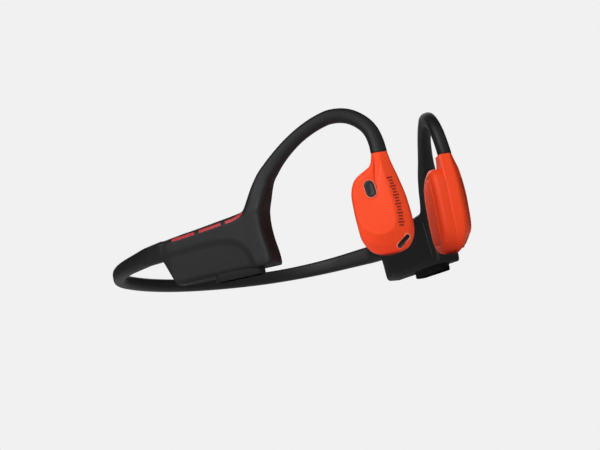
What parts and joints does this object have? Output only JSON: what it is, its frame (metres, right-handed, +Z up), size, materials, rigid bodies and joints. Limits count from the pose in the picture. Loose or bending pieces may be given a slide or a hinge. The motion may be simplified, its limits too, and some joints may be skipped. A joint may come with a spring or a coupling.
{
  "type": "bone conduction headphones",
  "caption": "Open-ear bone conduction headphones: a springy neckband joins pods behind the ears, with hooks over the ears carrying orange transducers.",
  "frame": {"origin": "middle of the bounding box at the surface the headphones stand on", "axes": "+Z up, -Y the way the wearer faces, -X the wearer's right side"},
  "size_m": [0.1238, 0.121, 0.0511],
  "materials": {
    "soft_sleeve": "satin silicone",
    "pod_shell": "soft-touch satin",
    "gasket": "matt",
    "light_bar": "translucent red",
    "circuit_board": "solder mask",
    "key_rubber": "matt",
    "button_grey": "satin",
    "light_ring": "satin",
    "orange_shell": "soft satin",
    "spring_wire": "drawn",
    "copper": "enamelled copper",
    "steel": "plated",
    "contact_gold": "gold plated",
    "battery_foil": "laminated pouch",
    "switch_black": "moulded",
    "mesh_black": "woven"
  },
  "bodies": {
    "neckband": {"neckband_rear_sleeve": "soft_sleeve", "neckband_wire": "spring_wire"},
    "left_side": {"battery_board": "circuit_board", "battery_cell": "battery_foil", "charging_contacts": "contact_gold", "charging_magnets": "steel", "driver_bridge_left": "steel", "driver_coil_left": "copper", "driver_cup_left": "steel", "driver_magnet_left": "steel", "driver_spring_left": "steel", "ear_hook_sleeve_left": "soft_sleeve", "ear_hook_wire_left": "spring_wire", "light_bars_left": "light_bar", "light_board_left": "circuit_board", "microphone_left": "steel", "neckband_sleeve_left": "soft_sleeve", "pod_gasket_left": "gasket", "pod_inner_cover_left": "pod_shell", "pod_outer_shell_left": "pod_shell", "transducer_inner_shell_left": "orange_shell", "transducer_pad_left": "orange_shell", "transducer_shell_left": "orange_shell", "vent_mesh_left": "mesh_black"},
    "right_side": {"driver_bridge_right": "steel", "driver_coil_right": "copper", "driver_cup_right": "steel", "driver_magnet_right": "steel", "driver_spring_right": "steel", "ear_hook_sleeve_right": "soft_sleeve", "ear_hook_wire_right": "spring_wire", "function_light_ring": "light_ring", "function_switch": "switch_black", "light_bars_right": "light_bar", "light_board_right": "circuit_board", "main_board": "circuit_board", "microphone_right": "steel", "neckband_sleeve_right": "soft_sleeve", "pod_gasket_right": "gasket", "pod_inner_cover_right": "pod_shell", "pod_outer_shell_right": "pod_shell", "switch_board": "circuit_board", "transducer_inner_shell_right": "orange_shell", "transducer_pad_right": "orange_shell", "transducer_shell_right": "orange_shell", "vent_mesh_right": "mesh_black", "volume_switches": "switch_black"},
    "volume_up_key": {"volume_up_button": "key_rubber"},
    "volume_down_key": {"volume_down_button": "key_rubber"},
    "function_key": {"function_button": "button_grey"}
  },
  "joints": [
    {"name": "left_flex", "type": "hinge", "parent": "neckband", "child": "left_side", "pos_m": [0.04792, 0.04245, 0.01264], "axis": [0, 0.0523, 0.9986], "range_deg": [0, 30], "stiffness_Nm_per_rad": 0.15, "deforming": ["neckband_sleeve_left", "neckband_wire"]},
    {"name": "right_flex", "type": "hinge", "parent": "neckband", "child": "right_side", "pos_m": [-0.04792, 0.04245, 0.01264], "axis": [0, -0.0523, -0.9986], "range_deg": [0, 30], "stiffness_Nm_per_rad": 0.15, "deforming": ["neckband_sleeve_right", "neckband_wire"]},
    {"name": "volume_up_press", "type": "slide", "parent": "right_side", "child": "volume_up_key", "axis": [0, 0, 1], "range_m": [0, 0.0003], "stiffness_N_per_m": 800},
    {"name": "volume_down_press", "type": "slide", "parent": "right_side", "child": "volume_down_key", "axis": [0, 0, 1], "range_m": [0, 0.0003], "stiffness_N_per_m": 800},
    {"name": "function_press", "type": "slide", "parent": "right_side", "child": "function_key", "axis": [0.788, 0.6157, 0], "range_m": [0, 0.0004], "stiffness_N_per_m": 900}
  ]
}
